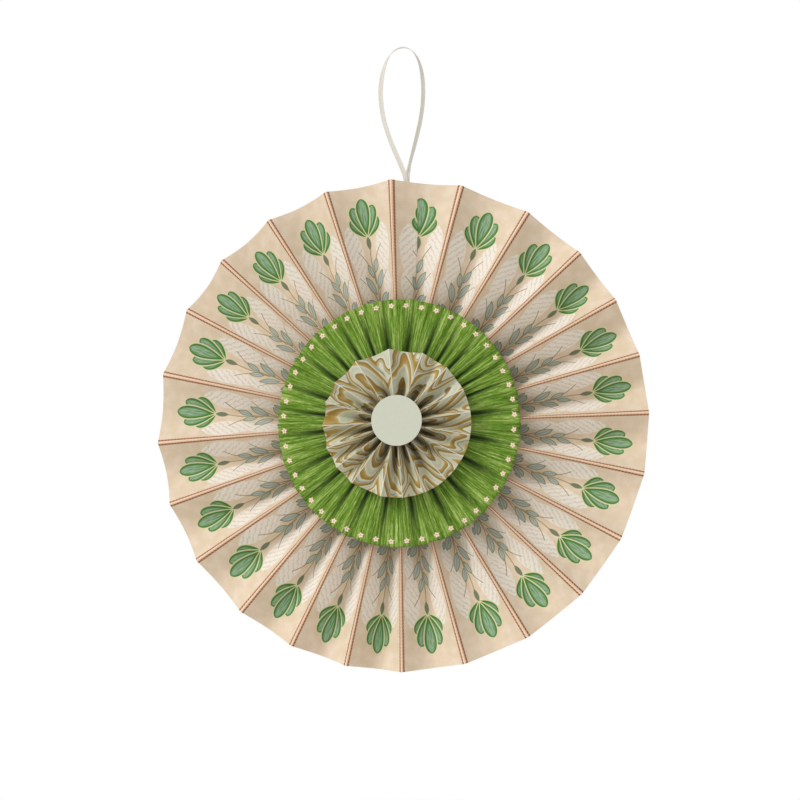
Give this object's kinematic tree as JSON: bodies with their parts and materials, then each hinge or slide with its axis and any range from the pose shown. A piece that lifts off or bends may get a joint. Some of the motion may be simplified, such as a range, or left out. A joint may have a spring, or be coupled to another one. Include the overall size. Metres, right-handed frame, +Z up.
{
  "type": "paper fan rosette",
  "caption": "Hanging decoration of pleated and gathered paper rings on a common centre, with a card disc and a ribbon loop.",
  "frame": {"origin": "hang point, at the inside of the ribbon loop's top", "axes": "+Z up when it hangs, -Y out of the decorated front, +X to the right seen from the front"},
  "size_m": [0.2995, 0.0441, 0.3824],
  "materials": {
    "printed_paper": "matt peach paper with a printed stripe and flower repeat",
    "green_paper": "matt mottled green paper with a border of small pale florets",
    "marbled_paper": "matt marbled paper in ochre, cream and sage",
    "grey_card": "matt pale grey-green card",
    "backing_card": "matt off-white card",
    "ribbon": "soft woven ivory ribbon"
  },
  "bodies": {
    "root": {"large_rosette": "printed_paper", "green_ruffle": "green_paper", "small_rosette": "marbled_paper", "centre_disc": "grey_card", "back_disc": "backing_card", "hanging_ribbon": "ribbon"}
  },
  "joints": []
}
